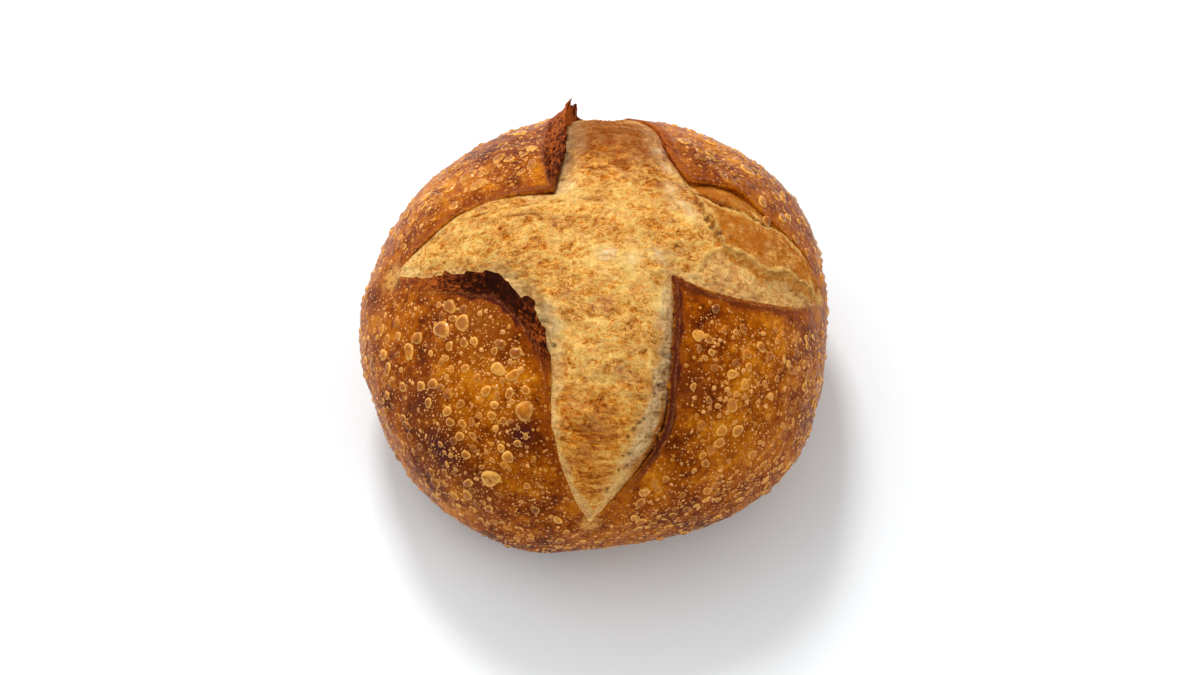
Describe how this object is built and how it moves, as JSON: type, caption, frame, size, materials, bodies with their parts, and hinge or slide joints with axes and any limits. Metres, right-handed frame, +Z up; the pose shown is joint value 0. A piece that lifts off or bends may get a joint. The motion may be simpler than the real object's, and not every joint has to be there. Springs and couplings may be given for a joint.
{
  "type": "sourdough loaf",
  "caption": "Round sourdough loaf with a blistered golden-brown crust and a cross-shaped slash whose flaps have opened into raised ears over torn crumb",
  "frame": {"origin": "on the flat bottom, under the middle of the loaf's box", "axes": "+Z up, through the slashed top; +Y towards the back of the loaf and +X to its right as it is usually seen, with the slash's long arm running along -Y and +Y"},
  "size_m": [0.2204, 0.2156, 0.1306],
  "materials": {
    "crust": "baked golden-brown crust with small blisters, darker along the ears and paler in the torn crumb, with a faint sheen"
  },
  "bodies": {
    "root": {"loaf": "crust"}
  },
  "joints": []
}
